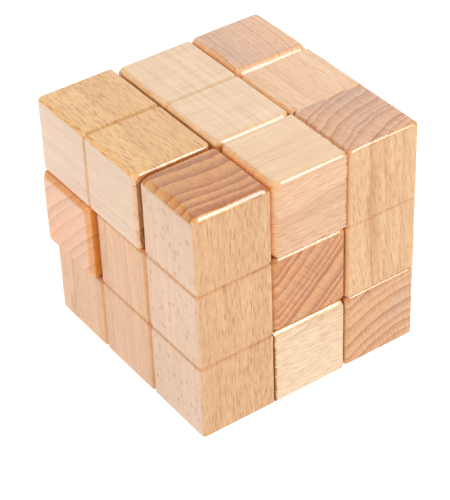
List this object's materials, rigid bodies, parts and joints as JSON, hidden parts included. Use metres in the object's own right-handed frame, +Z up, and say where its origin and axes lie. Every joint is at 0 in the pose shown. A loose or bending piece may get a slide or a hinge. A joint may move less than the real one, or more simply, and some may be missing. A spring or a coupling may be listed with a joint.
{
  "type": "wooden puzzle cube with storage box",
  "caption": "Interlocking wooden puzzle cube of glued square sticks, beside its finger-jointed storage box with a dovetailed sliding lid and a folded leaflet.",
  "frame": {"origin": "centre of the assembled cube's underside", "axes": "+Z up; -Y is the side that the box's lid slides out towards; the storage box stands on the cube's -X side"},
  "size_m": [0.2413, 0.1282, 0.0855],
  "materials": {
    "beech_long_grain": "clear satin lacquer",
    "beech_pale": "clear satin lacquer",
    "beech_pink": "clear satin lacquer",
    "beech_end_grain": "clear satin lacquer on end grain",
    "box_side_wood": "smooth, thinly oiled",
    "box_front_wood": "smooth, thinly oiled",
    "lid_wood": "smooth, thinly oiled",
    "leaflet_paper": "matt white paper"
  },
  "bodies": {
    "storage_box": {"box_left_wall": "box_side_wood", "box_right_wall": "box_side_wood", "box_front_wall": "box_front_wood", "box_back_wall": "box_front_wood", "box_floor": "beech_pale"},
    "lid": {"sliding_lid": "lid_wood"},
    "leaflet": {"folded_leaflet": "leaflet_paper"},
    "z_piece": {"z_piece_lower_stick": "beech_end_grain", "z_piece_upper_stick": "beech_pale"},
    "l_piece": {"l_piece_post": "beech_pink", "l_piece_foot_block": "beech_pale"},
    "a_piece": {"a_piece_upright_stick": "beech_long_grain", "a_piece_middle_block": "beech_long_grain", "a_piece_end_block": "beech_pale"},
    "b_piece": {"b_piece_top_stick": "beech_long_grain", "b_piece_cross_stick": "beech_end_grain"},
    "p_piece": {"p_piece_upright_stick": "beech_long_grain", "p_piece_front_block": "beech_pale", "p_piece_side_block": "beech_pale"},
    "v_piece": {"v_piece_base_stick": "beech_end_grain", "v_piece_side_block": "beech_pale"},
    "t_piece": {"t_piece_post": "beech_end_grain", "t_piece_middle_block": "beech_long_grain"}
  },
  "joints": [
    {"name": "lid_slide", "type": "slide", "parent": "storage_box", "child": "lid", "axis": [0, -1, 0], "range_m": [-0.0372, 0.051]},
    {"name": "leaflet_lift", "type": "slide", "parent": "storage_box", "child": "leaflet", "axis": [0, 0, 1], "range_m": [0, 0.07]},
    {"name": "cube_lift", "type": "slide", "parent": "storage_box", "child": "z_piece", "axis": [0, 0, 1], "range_m": [0, 0.1]},
    {"name": "p_piece_lift", "type": "slide", "parent": "z_piece", "child": "p_piece", "axis": [0, 0, 1], "range_m": [0, 0.055]},
    {"name": "t_piece_slide", "type": "slide", "parent": "z_piece", "child": "t_piece", "axis": [0, 1, 0], "range_m": [0, 0.055]},
    {"name": "l_piece_slide", "type": "slide", "parent": "z_piece", "child": "l_piece", "axis": [0, -1, 0], "range_m": [0, 0.03]},
    {"name": "a_piece_slide", "type": "slide", "parent": "z_piece", "child": "a_piece", "axis": [-1, 0, 0], "range_m": [0, 0.055]},
    {"name": "b_piece_slide", "type": "slide", "parent": "z_piece", "child": "b_piece", "axis": [-1, 0, 0], "range_m": [0, 0.055]},
    {"name": "v_piece_slide", "type": "slide", "parent": "z_piece", "child": "v_piece", "axis": [1, 0, 0], "range_m": [0, 0.055]}
  ]
}
